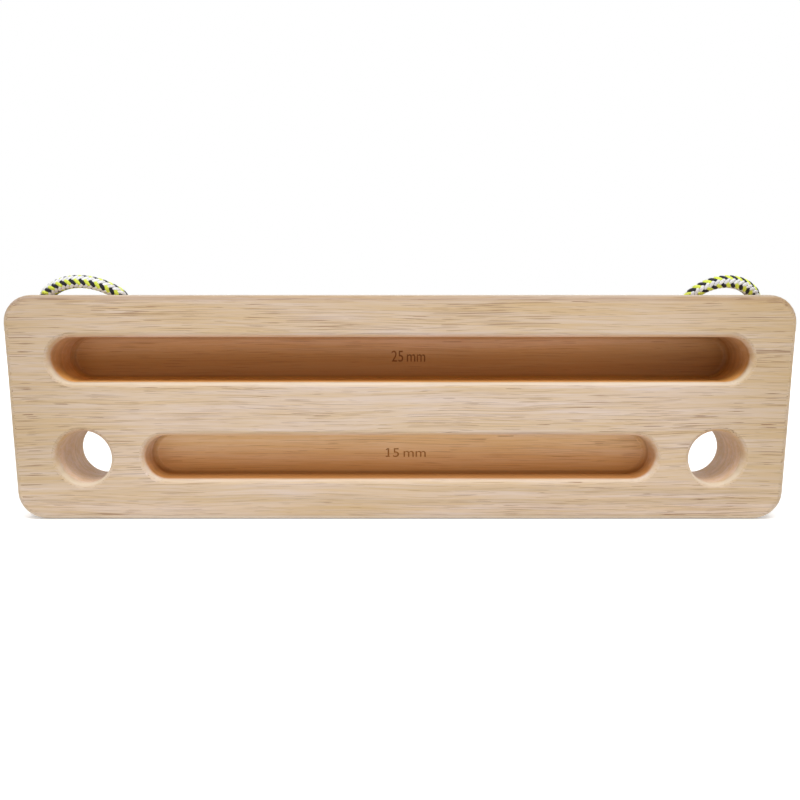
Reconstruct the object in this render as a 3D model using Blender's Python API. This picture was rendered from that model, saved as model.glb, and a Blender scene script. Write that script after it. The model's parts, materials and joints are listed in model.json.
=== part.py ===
"""A portable wooden hangboard: one routed board, with its cord laced through four slanting bores.

Metres, +Z up. The board stands on its lower edge at Z = 0 and is centred on X = 0 and Y = 0.
Its front, with the slots, faces -Y. The cord's spare length lies behind it as a tied hank.
"""

import math

import bmesh
import bpy
import numpy as np

# Board
BOARD_W = 0.420
BOARD_H = 0.122
UPPER_DEPTH = 0.025
LOWER_DEPTH = 0.015
BACK_WALL = 0.005
CORNER_R = 0.015
EDGE_R = 0.004
BOARD_T = UPPER_DEPTH + BACK_WALL
FRONT = -BOARD_T / 2
BACK = BOARD_T / 2

# Slots and finger holes, set in from the board's edges
SLOT_H = 0.024
TOP_MARGIN = 0.0222
BOTTOM_MARGIN = 0.0228
UPPER_END_MARGIN = 0.0234
LOWER_END_MARGIN = 0.0711
RIM_R = 0.003
ROOT_R = 0.0025
HOLE_D = 0.029
HOLE_END_MARGIN = 0.0385

# Facets: steps in each round, sides of each hole, and how far a cutter runs past the face
CORNER_STEPS = 8
EDGE_STEPS = 5
RIM_STEPS = 4
ROOT_STEPS = 3
HOLE_SIDES = 36
MOUTH_SIDES = 28
MOUTH_STEPS = 5
RIM_ANGLE = 80
OVERCUT = 0.001
BORE_OVERRUN = 0.012

# Cord, its bores and the mouths that ease it round the edges
CORD_D = 0.007
CORD_R = CORD_D / 2
BORE_PLAY = 0.004
BORE_D = CORD_D + BORE_PLAY
BORE_SLOPE = math.radians(45)
MOUTH_R = 0.0045
JOIN_GAP = 0.0003

# Bights: the arches over the top. The photograph shows the right one narrower than the left
OUTER_MARGIN = 0.0168
BIGHT_SPAN = {"left": 0.0392, "right": 0.0330}
BIGHT_RISE = 0.0066
BIGHT_LEAN = math.radians(28)
BIGHT_AXIS_Y = 0.001
BIGHT_AXIS_LIFT = 0.0009
BORE_SET_OFF = 0.0028

# How the cord lies in a bore, below its axis and to one side, and how far behind the top it bends
STRAND_SAG = 0.0004
STRAND_SIDE = 0.0006
STRAND_TOP_Y = 0.0062
STRAND_BEND_Y = 0.0105

# Spacing of the points along each kind of cord solid
KNOT_STEP = 0.5 * CORD_D
STRAND_STEP = 0.45 * CORD_D
STRETCH_STEP = 1.6 * CORD_D
ARCH_POINTS = 16

# Knots, each hung close under the outer back mouth
KNOT_RING = 1.25 * CORD_D
KNOT_RISE = 0.55 * CORD_D
KNOT_PLAY = 0.0004
KNOT_STAND_OFF = 0.0006
KNOT_DROP = KNOT_RING + KNOT_RISE + CORD_R + KNOT_PLAY
KNOT_INSET = 0.0012
KNOT_FROM = math.radians(330)
KNOT_TO = math.radians(30)
KNOT_LEAD_Y = 0.0010
KNOT_LEAD_Z = 0.0006

# The knot's tail, as steps from the knot: towards the middle, backwards and up
TAIL_STEPS = (
    (0.0010, 0.0004, 0.0070),
    (0.0034, 0.0008, 0.0135),
    (0.0082, 0.0010, 0.0178),
    (0.0140, 0.0010, 0.0186),
)

# Hank: loops drawn in at the waist by the tie, in two layers
HANK_LOOPS = 3
HANK_LAYERS = 2
HANK_RUN = 15 * CORD_D
HANK_FOLD_R = 2.5 * CORD_D
HANK_STEP = 1.19 * CORD_D
HANK_LAYER = 1.1 * CORD_D
HANK_PULL = 0.015
RUN_POINTS = 4
FOLD_POINTS = 8
HANK_GAP_TO_BOARD = 0.0008
FLOOR_GAP = 0.0002

# The cord's fall behind the board from an inner mouth, and its way along the floor to the hank:
# the share of the way to the hank, the distance out from the board, the share of the drop
FIRST_BEND = 0.0050
LEFT_FALL = (
    (0.002, 0.0082, 0.121),
    (0.011, 0.0094, 0.272),
    (0.028, 0.0094, 0.534),
    (0.065, 0.0085, 0.758),
    (0.146, 0.0070, 0.913),
    (0.293, 0.0058, 0.992),
)
RIGHT_FALL = (
    (0.002, 0.0082, 0.121),
    (0.008, 0.0094, 0.272),
    (0.022, 0.0095, 0.525),
    (0.057, 0.0087, 0.748),
    (0.132, 0.0072, 0.904),
    (0.264, 0.0060, 0.990),
)
# Along the floor: the share of the way to the hank, and the share of the hank end's height
LEFT_RUN = ((0.466, 0), (0.762, 1), (0.892, 1))
RIGHT_RUN = ((0.406, 0), (0.513, 0.13), (0.655, 0.60), (0.797, 0.95), (0.919, 1))

# Tie
TIE_W = 0.010
TIE_T = 0.0014
TIE_LIFT = 0.0022
TIE_R = 0.004
TIE_GAP = 0.0004

SIDES = {"left": -1, "right": 1}


def clear_scene():
    for obj in list(bpy.data.objects):
        bpy.data.objects.remove(obj)


def make_material(name, colour, roughness):
    """A non-metal with the colour and roughness seen in the photograph."""
    material = bpy.data.materials.new(name)
    material.use_nodes = True
    shader = material.node_tree.nodes["Principled BSDF"]
    shader.inputs["Base Color"].default_value = (*colour, 1)
    shader.inputs["Roughness"].default_value = roughness
    return material


def mesh_object(name, bm, material):
    """Turns a bmesh into a linked object, with its faces pointing out."""
    bmesh.ops.recalc_face_normals(bm, faces=bm.faces)
    mesh = bpy.data.meshes.new(name)
    bm.to_mesh(mesh)
    bm.free()
    obj = bpy.data.objects.new(name, mesh)
    bpy.context.scene.collection.objects.link(obj)
    if material:
        mesh.materials.append(material)
    return obj


def loft(rings):
    """A closed body through rings of equally many points, capped at both ends."""
    bm = bmesh.new()
    rows = [[bm.verts.new(tuple(p)) for p in ring] for ring in rings]
    for low, high in zip(rows, rows[1:]):
        for i in range(len(low)):
            j = (i + 1) % len(low)
            bm.faces.new((low[i], low[j], high[j], high[i]))
    bm.faces.new(rows[0][::-1])
    bm.faces.new(rows[-1])
    return bm


def rounded_outline(half_w, half_h, radius, steps):
    """Points round a rectangle with round corners, about (0, 0). A slot has radius = half_h."""
    points = []
    for quarter, (sx, sy) in enumerate(((1, 1), (-1, 1), (-1, -1), (1, -1))):
        for k in range(steps + 1):
            angle = math.pi / 2 * (quarter + k / steps)
            x = sx * (half_w - radius) + radius * math.cos(angle)
            y = sy * (half_h - radius) + radius * math.sin(angle)
            if not points or math.dist(points[-1], (x, y)) > 1e-6:
                points.append((x, y))
    if math.dist(points[0], points[-1]) < 1e-6:
        points.pop()
    return points


def round_over(radius, steps, most=90):
    """(depth below the face, widening) down a quarter round, from near the face to its wall."""
    angles = [math.radians(most) * (1 - k / steps) for k in range(steps + 1)]
    return [(radius * (1 - math.sin(a)), radius * (1 - math.cos(a))) for a in angles]


def board_body(material):
    """The blank: a round-cornered board with its long edges rounded over, front and back."""
    steps = round_over(EDGE_R, EDGE_STEPS)
    rows = [(FRONT + depth, inset) for depth, inset in steps]
    rows += [(BACK - depth, inset) for depth, inset in reversed(steps)]
    rings = []
    for y, inset in rows:
        half_w, half_h = BOARD_W / 2 - inset, BOARD_H / 2 - inset
        outline = rounded_outline(half_w, half_h, CORNER_R - inset, CORNER_STEPS)
        rings.append([(x, y, z + BOARD_H / 2) for x, z in outline])
    return mesh_object("board", loft(rings), material)


def flared_rows(radius, steps):
    """Round-over rows for a cutter, ending in a row outside the face."""
    outside = (-OVERCUT, radius + OVERCUT)
    return [outside] + round_over(radius, steps, RIM_ANGLE)


def cut(obj, cutter):
    cutter.hide_render = True
    cutter.display_type = "WIRE"
    boolean = obj.modifiers.new(cutter.name, "BOOLEAN")
    boolean.operation = "DIFFERENCE"
    boolean.solver = "EXACT"
    boolean.object = cutter


def slot_cutter(name, end_margin, centre_z, depth):
    """A blind slot with round ends, a rounded rim and a small round where its back wall starts."""
    half_l = BOARD_W / 2 - end_margin
    half_h = SLOT_H / 2
    rows = flared_rows(RIM_R, RIM_STEPS)
    floor = [(depth - d, -inset) for d, inset in round_over(ROOT_R, ROOT_STEPS)]
    rows += floor[::-1]
    rings = []
    for y, widen in rows:
        end_r = half_h + widen
        outline = rounded_outline(half_l + widen, end_r, end_r, CORNER_STEPS)
        rings.append([(x, FRONT + y, z + centre_z) for x, z in outline])
    return mesh_object(name, loft(rings), None)


def hole_cutter(name, x, z):
    """A round hole right through, with both rims rounded over."""
    rows = flared_rows(RIM_R, RIM_STEPS)
    through = [(y, HOLE_D / 2 + widen) for y, widen in rows]
    through += [(BOARD_T - y, HOLE_D / 2 + widen) for y, widen in reversed(rows)]
    return turned_cutter(name, (x, FRONT, z), (0, 1, 0), through, HOLE_SIDES)


def turned_cutter(name, start, along, rows, sides):
    """A turned body: rows of (distance along the axis, radius)."""
    axis = np.array(along, float)
    across = np.cross(axis, (1, 0, 0))
    across /= np.linalg.norm(across)
    third = np.cross(axis, across)
    rings = []
    for distance, radius in rows:
        centre = np.array(start) + distance * axis
        turns = [math.tau * k / sides for k in range(sides)]
        rings.append(
            [
                centre + radius * (math.cos(t) * across + math.sin(t) * third)
                for t in turns
            ]
        )
    return mesh_object(name, loft(rings), None)


def slope_direction():
    """The way a bore runs from the top to the back."""
    return np.array((0, math.cos(BORE_SLOPE), -math.sin(BORE_SLOPE)))


def back_mouth_z():
    return BOARD_H - BACK * math.tan(BORE_SLOPE)


def bore_cutters(name, x):
    """A slanting bore from the top face to the back face, and an eased mouth at each end."""
    slope = slope_direction()
    start = np.array((x, 0, BOARD_H)) - BORE_OVERRUN * slope
    length = BACK / math.cos(BORE_SLOPE) + 2 * BORE_OVERRUN
    bore = [(0, BORE_D / 2), (length, BORE_D / 2)]
    rows = flared_rows(MOUTH_R, MOUTH_STEPS)
    mouth = [(depth, BORE_D / 2 + widen) for depth, widen in rows]
    top = (x, 0, BOARD_H)
    back = (x, BACK, back_mouth_z())
    return [
        turned_cutter(f"{name}_bore", start, slope, bore, MOUTH_SIDES),
        turned_cutter(f"{name}_top_mouth", top, (0, 0, -1), mouth, MOUTH_SIDES),
        turned_cutter(f"{name}_back_mouth", back, (0, -1, 0), mouth, MOUTH_SIDES),
    ]


def outer_mouth_x(side):
    """Where the cord crosses the top face at the outer end of an arch."""
    return SIDES[side] * (BOARD_W / 2 - OUTER_MARGIN)


def inner_mouth_x(side):
    return outer_mouth_x(side) - SIDES[side] * BIGHT_SPAN[side]


def outer_bore_x(side):
    return outer_mouth_x(side) + SIDES[side] * BORE_SET_OFF


def inner_bore_x(side):
    return inner_mouth_x(side) - SIDES[side] * BORE_SET_OFF


def make_board(wood):
    board = board_body(wood)
    upper_z = BOARD_H - TOP_MARGIN - SLOT_H / 2
    lower_z = BOTTOM_MARGIN + SLOT_H / 2
    cut(board, slot_cutter("upper_slot", UPPER_END_MARGIN, upper_z, UPPER_DEPTH))
    cut(board, slot_cutter("lower_slot", LOWER_END_MARGIN, lower_z, LOWER_DEPTH))
    for side, sign in SIDES.items():
        hole_x = sign * (BOARD_W / 2 - HOLE_END_MARGIN)
        cut(board, hole_cutter(f"{side}_finger_hole", hole_x, lower_z))
        for where, x in (("outer", outer_bore_x(side)), ("inner", inner_bore_x(side))):
            for cutter in bore_cutters(f"{side}_{where}", x):
                cut(board, cutter)
    board.data.shade_smooth()
    return board


def smooth_curve(points, step):
    """A natural cubic curve through the points, read off every step metres."""
    p = np.array(points, float)
    t = np.concatenate([[0], np.cumsum(np.linalg.norm(np.diff(p, axis=0), axis=1))])
    n, h = len(p), np.diff(t)
    matrix, right = np.eye(n), np.zeros((n, 3))
    for i in range(1, n - 1):
        matrix[i, i - 1 : i + 2] = h[i - 1], 2 * (h[i - 1] + h[i]), h[i]
        right[i] = 6 * ((p[i + 1] - p[i]) / h[i] - (p[i] - p[i - 1]) / h[i - 1])
    bend = np.linalg.solve(matrix, right)
    fine = np.linspace(0, t[-1], 40 * n)
    i = np.clip(np.searchsorted(t, fine) - 1, 0, n - 2)
    a, b = (t[i + 1] - fine)[:, None], (fine - t[i])[:, None]
    w = h[i][:, None]
    line = (a**3 * bend[i] + b**3 * bend[i + 1]) / (6 * w)
    line += (p[i] / w - bend[i] * w / 6) * a + (p[i + 1] / w - bend[i + 1] * w / 6) * b
    return evenly(line, step)


def lengths_along(line):
    return np.concatenate(
        [[0], np.cumsum(np.linalg.norm(np.diff(line, axis=0), axis=1))]
    )


def evenly(line, step):
    """The same line with points about step apart."""
    return stretch_between(line, 0, lengths_along(line)[-1], step)


def stretch_between(line, start, end, step):
    """The part of a fine line from start to end, both measured along it."""
    along = lengths_along(line)
    count = max(2, round((end - start) / step) + 1)
    at = np.linspace(start, end, count)
    return np.stack([np.interp(at, along, line[:, k]) for k in range(3)], 1)


def tube(name, line, material, sides_setting, radii=None):
    """A cord solid: a polyline with a round bevel and filled caps."""
    curve = bpy.data.curves.new(name, "CURVE")
    curve.dimensions = "3D"
    curve.bevel_depth = CORD_R
    curve.bevel_resolution = sides_setting
    curve.use_fill_caps = True
    spline = curve.splines.new("POLY")
    spline.points.add(len(line) - 1)
    for i, point in enumerate(line):
        spline.points[i].co = (*point, 1)
        spline.points[i].radius = 1 if radii is None else radii[i]
    spline.use_smooth = True
    curve.materials.append(material)
    obj = bpy.data.objects.new(name, curve)
    bpy.context.scene.collection.objects.link(obj)
    return obj


def least_gap(line):
    """The least clear distance from a cord to itself, past its own next two diameters and a half."""
    step = CORD_D / 12
    fine = evenly(np.array(line), step)
    skip = int(2.5 * CORD_D / step)
    gaps = [
        np.linalg.norm(fine[i + skip :] - fine[i], axis=1).min()
        for i in range(len(fine) - skip)
    ]
    return min(gaps) - CORD_D


def arch_points(side, count):
    """The bight's centreline, a round arch that leans towards the front, from mouth to mouth."""
    span, sign = BIGHT_SPAN[side], SIDES[side]
    rise = BIGHT_RISE / math.cos(BIGHT_LEAN)
    radius = (span**2 / 4 + rise**2) / (2 * rise)
    half = math.asin(span / 2 / radius)
    middle = outer_mouth_x(side) - sign * span / 2
    points = []
    for k in range(count + 1):
        angle = half * (1 - 2 * k / count)
        up = radius * (math.cos(angle) - math.cos(half))
        points.append(
            (
                middle + sign * radius * math.sin(angle),
                BIGHT_AXIS_Y - up * math.sin(BIGHT_LEAN),
                BOARD_H + BIGHT_AXIS_LIFT + up * math.cos(BIGHT_LEAN),
            )
        )
    return points


def bore_points(bore_x, away):
    """The cord's way through a bore, from just under its top mouth to its back mouth."""
    x = bore_x + away * STRAND_SIDE
    start = BOARD_H - STRAND_SAG
    fall = math.tan(BORE_SLOPE)
    return [(x, y, start - fall * y) for y in (STRAND_TOP_Y, STRAND_BEND_Y, BACK)]


def knot_centre(side):
    ring_x = KNOT_RING * math.sin(2 * KNOT_TO)
    x = outer_bore_x(side) - SIDES[side] * (ring_x + KNOT_INSET)
    return (
        x,
        BACK + KNOT_STAND_OFF + CORD_R + KNOT_RISE,
        back_mouth_z() - KNOT_DROP,
    )


def knot_points(side):
    """An overhand knot: a cord that goes twice round a ring while it winds three times about it."""
    x0, y0, z0 = knot_centre(side)
    turns = np.linspace(KNOT_FROM, KNOT_TO, 49)
    reach = KNOT_RING + KNOT_RISE * np.cos(3 * turns)
    x = x0 - SIDES[side] * reach * np.sin(2 * turns)
    y = y0 + KNOT_RISE * np.sin(3 * turns)
    z = z0 + reach * np.cos(2 * turns)
    return list(zip(x, y, z))


def tail_points(side):
    """The knot's tail: up a little, and over towards the middle as its weight bends it."""
    sign = SIDES[side]
    x, y, z = knot_points(side)[-1]
    return [(x - sign * dx, y + dy, z + dz) for dx, dy, dz in TAIL_STEPS]


def hank_centre():
    """The middle of the hank on the floor: its near side lies along the board's back."""
    return BACK + HANK_GAP_TO_BOARD + CORD_R + hank_outer_r()


def hank_outer_r():
    """The reach of the last run, which lies nearest to the board."""
    last_run = RUN_POINTS / (2 * (RUN_POINTS + FOLD_POINTS))
    return HANK_FOLD_R + HANK_STEP * (HANK_LOOPS / HANK_LAYERS + last_run)


def hank_points():
    """The hank's centreline. It spirals in on the floor, climbs a layer and spirals out again."""
    half_run = HANK_RUN / 2
    half_loop = RUN_POINTS + FOLD_POINTS
    turning = HANK_LOOPS / HANK_LAYERS
    points = []
    for k in range(2 * half_loop * HANK_LOOPS + RUN_POINTS + 1):
        reach = HANK_FOLD_R + HANK_STEP * abs(k / (2 * half_loop) - turning)
        flip = -1 if (k // half_loop) % 2 else 1
        place = k % half_loop
        if place <= RUN_POINTS:
            x = half_run * (2 * place / RUN_POINTS - 1)
            drawn = math.cos(math.pi * x / HANK_RUN) ** 2
            y = HANK_PULL * drawn - reach
        else:
            angle = math.pi * (place - RUN_POINTS) / FOLD_POINTS
            x = half_run + reach * math.sin(angle)
            drawn = 0
            y = -reach * math.cos(angle)
        climbed = (k - 2 * half_loop * turning) / RUN_POINTS
        z = TIE_LIFT * drawn + HANK_LAYER * min(max(climbed, 0), 1)
        points.append((flip * x, hank_centre() + flip * y, floor_z() + z))
    (x0, y0, z0), (x1, y1, z1) = points[0], points[-1]
    return [(x0 - CORD_D, y0, z0)] + points + [(x1 + CORD_D, y1, z1)]


def floor_z():
    """The height of the cord's centreline where it lies on the floor."""
    return FLOOR_GAP + CORD_R


def stretch_points(side):
    """From an inner bore, down behind the board and along the floor to an end of the hank."""
    x, y, z = bore_points(inner_bore_x(side), SIDES[side])[-1]
    end = {"left": 0, "right": -1}[side]
    hank_x, hank_y, hank_z = hank_points()[end]
    fall = {"left": LEFT_FALL, "right": RIGHT_FALL}[side]
    run = {"left": LEFT_RUN, "right": RIGHT_RUN}[side]
    across, drop = hank_x - x, z - floor_z()
    points = [(x, y, z), (x, y + FIRST_BEND, z - FIRST_BEND)]
    points += [(x + share * across, y + out, z - down * drop) for share, out, down in fall]
    for share, up in run:
        points.append((x + share * across, hank_y, floor_z() + up * (hank_z - floor_z())))
    return points + [(hank_x, hank_y, hank_z)]


def held_route(side):
    """The held cord from the knot's tail to the inner back mouth, as one fine line."""
    sign = SIDES[side]
    arch = arch_points(side, 10)
    into_knot = knot_points(side)
    out_of_bore = bore_points(outer_bore_x(side), -sign)[::-1]
    lead = [
        (
            out_of_bore[0][0],
            (out_of_bore[0][1] + into_knot[0][1]) / 2 + KNOT_LEAD_Y,
            (out_of_bore[0][2] + into_knot[0][2]) / 2 + KNOT_LEAD_Z,
        )
    ]
    points = tail_points(side)[::-1] + into_knot[::-1]
    points += lead + out_of_bore + arch
    points += bore_points(inner_bore_x(side), sign)
    return smooth_curve(points, CORD_D / 20)


def place_along(line, point):
    """How far along a line its nearest point to the given one is."""
    nearest = np.linalg.norm(line - np.array(point), axis=1).argmin()
    return lengths_along(line)[nearest]


def make_bight(side, cord):
    """The arch, with ball ends centred on the axis that it swings about."""
    arch = np.array(arch_points(side, ARCH_POINTS))
    pivot = (arch[0] + arch[-1]) / 2
    way_in = (arch[0] - arch[1]) / np.linalg.norm(arch[0] - arch[1])
    way_out = (arch[-1] - arch[-2]) / np.linalg.norm(arch[-1] - arch[-2])
    turns = [math.radians(a) for a in (80, 62, 42, 21)]
    first = [arch[0] + CORD_R * math.sin(t) * way_in for t in turns]
    last = [arch[-1] + CORD_R * math.sin(t) * way_out for t in reversed(turns)]
    ends = [math.cos(t) for t in turns]
    radii = ends + [1] * len(arch) + ends[::-1]
    line = np.array(first + list(arch) + last) - pivot
    obj = tube(f"{side}_bight", line, cord, 4, radii)
    obj.location = pivot
    return obj


def make_held_cord(side, cord):
    """The strands in the two bores and the knot, cut from one route with small gaps between."""
    route = held_route(side)
    arch = arch_points(side, 2)
    outer, inner = place_along(route, arch[0]), place_along(route, arch[-1])
    mouth = place_along(route, bore_points(outer_bore_x(side), -SIDES[side])[1])
    whole = lengths_along(route)[-1]
    clear = CORD_R + JOIN_GAP
    knot = stretch_between(route, 0, mouth - JOIN_GAP / 2, KNOT_STEP)
    strand = stretch_between(route, mouth + JOIN_GAP / 2, outer - clear, STRAND_STEP)
    second = stretch_between(route, inner + clear, whole - JOIN_GAP, STRAND_STEP)
    tube(f"{side}_knot", knot, cord, 3)
    tube(f"{side}_outer_strand", strand, cord, 3)
    tube(f"{side}_inner_strand", second, cord, 3)
    print(f"{side} knot, least gap to itself: {1000 * least_gap(knot):.2f} mm")


def make_free_cord(cord):
    """The stretches behind the board and the hank between them."""
    hank = np.array(hank_points())
    tube("cord_hank", hank, cord, 1)
    print(f"hank, least gap to itself: {1000 * least_gap(hank):.2f} mm")
    lines = {side: smooth_curve(stretch_points(side), CORD_D / 20) for side in SIDES}
    for side, line in lines.items():
        whole = lengths_along(line)[-1]
        trimmed = stretch_between(line, JOIN_GAP, whole - JOIN_GAP, STRETCH_STEP)
        tube(f"{side}_stretch", trimmed, cord, 3)
    free = sum(lengths_along(line)[-1] for line in (*lines.values(), hank))
    held = sum(lengths_along(held_route(side))[-1] for side in SIDES)
    print(f"cord: {free:.3f} m free, {held:.3f} m held, {free + held:.3f} m in all")


def make_tie(material):
    """A flat strap round the waist of the hank, its closed loop standing on the floor."""
    waist = [p for p in hank_points() if abs(p[0]) < HANK_RUN / 8]
    slope = 2 * HANK_PULL / HANK_RUN
    spread = slope * TIE_W / 2
    room = CORD_R + TIE_GAP
    low_y = min(p[1] for p in waist) - room - spread
    high_y = max(p[1] for p in waist) + room + spread
    top = max(p[2] for p in waist) + room
    half_w, half_h = (high_y - low_y) / 2, (top - TIE_T) / 2
    centre_y, centre_z = (high_y + low_y) / 2, TIE_T + half_h
    inner = rounded_outline(half_w, half_h, TIE_R, 4)
    outer = rounded_outline(half_w + TIE_T, half_h + TIE_T, TIE_R + TIE_T, 4)
    bm = bmesh.new()
    rows = []
    for outline, x in (
        (inner, -TIE_W / 2),
        (inner, TIE_W / 2),
        (outer, TIE_W / 2),
        (outer, -TIE_W / 2),
    ):
        rows.append([bm.verts.new((x, y + centre_y, z + centre_z)) for y, z in outline])
    for low, high in zip(rows, rows[1:] + rows[:1]):
        for i in range(len(low)):
            j = (i + 1) % len(low)
            bm.faces.new((low[i], low[j], high[j], high[i]))
    return mesh_object("hank_tie", bm, material)


def main():
    clear_scene()
    wood = make_material("rubberwood", (0.62, 0.45, 0.29), 0.55)
    cord = make_material("braided_cord", (0.30, 0.33, 0.10), 0.85)
    strap = make_material("strap", (0.03, 0.03, 0.03), 0.8)
    make_board(wood)
    for side in SIDES:
        make_bight(side, cord)
        make_held_cord(side, cord)
    make_free_cord(cord)
    make_tie(strap)


main()
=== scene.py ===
"""Looks of the portable hangboard: wood, braided cord and strap, with floor, light and camera.

Metres, in the frame's own axes: X along the board, +Y to its back, +Z up from the floor.
"""

import json
import math
from collections import namedtuple
from contextlib import contextmanager

import bmesh
import bpy
import numpy as np
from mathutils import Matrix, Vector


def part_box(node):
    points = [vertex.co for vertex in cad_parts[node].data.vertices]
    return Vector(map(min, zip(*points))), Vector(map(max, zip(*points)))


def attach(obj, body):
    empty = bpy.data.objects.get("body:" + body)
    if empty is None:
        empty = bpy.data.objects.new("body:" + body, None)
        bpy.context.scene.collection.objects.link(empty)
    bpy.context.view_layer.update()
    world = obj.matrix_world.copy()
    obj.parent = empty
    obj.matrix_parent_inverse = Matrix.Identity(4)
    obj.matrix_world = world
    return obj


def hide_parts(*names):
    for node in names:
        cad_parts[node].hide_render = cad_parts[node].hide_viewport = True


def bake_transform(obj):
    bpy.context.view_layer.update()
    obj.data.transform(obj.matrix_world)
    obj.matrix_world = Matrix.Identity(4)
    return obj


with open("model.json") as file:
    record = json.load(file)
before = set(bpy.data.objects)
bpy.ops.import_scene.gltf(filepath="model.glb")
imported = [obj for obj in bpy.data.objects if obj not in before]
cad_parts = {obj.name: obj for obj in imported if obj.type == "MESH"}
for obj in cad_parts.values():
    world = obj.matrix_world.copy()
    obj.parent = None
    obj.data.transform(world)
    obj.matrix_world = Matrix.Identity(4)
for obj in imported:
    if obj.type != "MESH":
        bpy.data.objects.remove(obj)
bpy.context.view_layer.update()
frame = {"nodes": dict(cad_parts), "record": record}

# The board's faces and openings, read from the frame, and its roundings
BOARD_LOW, BOARD_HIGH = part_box("board")
BOARD_W = float(BOARD_HIGH[0] - BOARD_LOW[0])
BOARD_H = float(BOARD_HIGH[2])
BACK = float(BOARD_HIGH[1])
FRONT = float(BOARD_LOW[1])
OPENINGS = {row["name"]: row["box_m"] for row in frame["record"]["physics"]["openings"]}
OPENING_PLAY = 0.001
CORNER_R = 0.015
EDGE_R = 0.004
ROOT_R = 0.0025

# The routed pockets: how far each goes past its opening's box, across and up; how dark and warm
# its walls are, low and high, partly for oil and partly as painted shade; its painted shade low
# on its back wall and towards its right end; its painted light high on its back wall; how far the
# darkening creeps further over its rim; and how strong its rim's painted highlight is
Pocket = namedtuple("Pocket", "name wider higher oil_low oil_high soaked ending gold crept paled")
POCKETS = (
    Pocket("upper_slot", 0.0125, 0.004, 0.92, 0.66, 0.95, 0.86, 0.0, 0.0, 0.6),
    Pocket("lower_slot", 0.0125, 0.004, 0.92, 0.16, 0.08, 0.20, 1.0, 0.0011, 0.2),
    Pocket("left_finger_hole", 0.0062, 0.0062, 0.26, 0.26, 0, 0, 0, 0, 0.6),
    Pocket("right_finger_hole", 0.0062, 0.0062, 0.26, 0.26, 0, 0, 0, 0, 0.6),
)

# Along Y, where a pocket's rim starts and ends, each from 0 to 1, and where its inside starts,
# which is later on a floor. Then how far the rim is darkened where it faces sideways, a painted
# shade
RIM_STARTS = (FRONT + 0.0001, FRONT + 0.0010)
RIM_ENDS = (FRONT + 0.0018, FRONT + 0.0032)
PAST_RIM = (FRONT + 0.0010, FRONT + 0.0036)
RIM_SET_BACK = 0.0014
RIM_SIDE_SHADE = 0.3
# How far before the board's back the walls of a hole right through it stop
HOLE_SHORT = 0.003
# Ahead of a pocket's back wall: where the wall ends, where the rounding at its root starts and
# ends, and how far behind the wall still counts
WALL_ENDS = (0.0002, ROOT_R)
ROOT_STARTS = (0.00002, 0.0004)
ROOT_ENDS = (ROOT_R, 1.6 * ROOT_R)
WALL_PLAY = 0.0005
# How far under the pocket's middle the painted shade on its back wall is full, and how far its
# painted light is let down
WALL_SHADE_UNDER = 0.002
WALL_LIGHT_DROP = 0.004
# Along X where the right end's painted shade sets in, ahead of the back wall where it fades, and
# to what
RIGHT_END = (0.085, 0.200)
END_FADE = 0.020
END_LEFT = 0.3

# The grain's noises, in waves per metre along X, Y and Z, and how far it wanders, in metres
WANDER = (9, 22, 22)
SWAY = (0, 0.0012, 0.0052)
BANDS = (1.8, 42, 42)
BLUSHES = (6, 34, 34)
FINE_FIBRES = (38, 1500, 1500)
LONG_FIBRES = (11, 330, 330)
PORE_CROWDS = (5, 60, 60)
STREAKS = (5, 260, 260)
RING_WOBBLE = (0, 140, 140)
ROUTER_MARKS = (8, 1100, 8)
# The pores: their noise, the level it passes where they are sparse and where they crowd, how
# sharp they are and how dark
PORES = (
    ((58, 3400, 3400), 0.742, 0.674, 32.0, 0.78),
    ((22, 3400, 3400), 0.738, 0.670, 34.0, 0.62),
    ((90, 3400, 3400), 0.690, 0.600, 12.0, 0.14),
)
# How strongly a fibre's shade tells on red, green and blue: darker fibres are warmer
FIBRE_POWERS = (0.5, 1.2, 3.4)
# The way from the tree's heart, behind and under the board, and the spacing of its rings
FROM_HEART = (0, -0.045, 0.050)
RING_SPACING = 0.0062
# The strip under the lower slot: how high it fades in and out, and how warm it is, left and right
STRIP_TOP = (0.0155, 0.0215)
STRIP_FOOT = (0.0, 0.005)
STRIP_WARMTH = (0.35, 0.75)
BURNT = {
    "Pale": (0.42, 0.25, 0.135, 1),
    "Warm": (0.36, 0.205, 0.105, 1),
    "Rosy": (0.39, 0.23, 0.12, 1),
    "Pore": (0.08, 0.04, 0.02, 1),
}

# The camera that the photograph was taken with
CAMERA_PLACE = (0.0, -0.3314, 0.1085)
CAMERA_PITCH = 0.132
CAMERA_LENS = 26.89
CAMERA_SENSOR = 36.0

# The floor's half width, and its glow to the camera: from where to where, how weak and how strong
FLOOR_HALF = 6.0
FLOOR_GLOW = (0.45, 1.3, 0.35, 1.0)
ROOM_LIGHT = 0.25
# The lamps' place, width and height, and power. They all point at the board's middle
LAMPS = {
    "front softbox": ((0, -0.6, 1.7), (1.8, 0.6), 28.5),
    "low front softbox": ((0, -1.3, 0.25), (1.6, 0.5), 2.9),
    "rear softbox": ((0, 1.5, 0.4), (2.0, 0.7), 12.0),
}
LAMP_AIM = (0, 0, 0.06)

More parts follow.
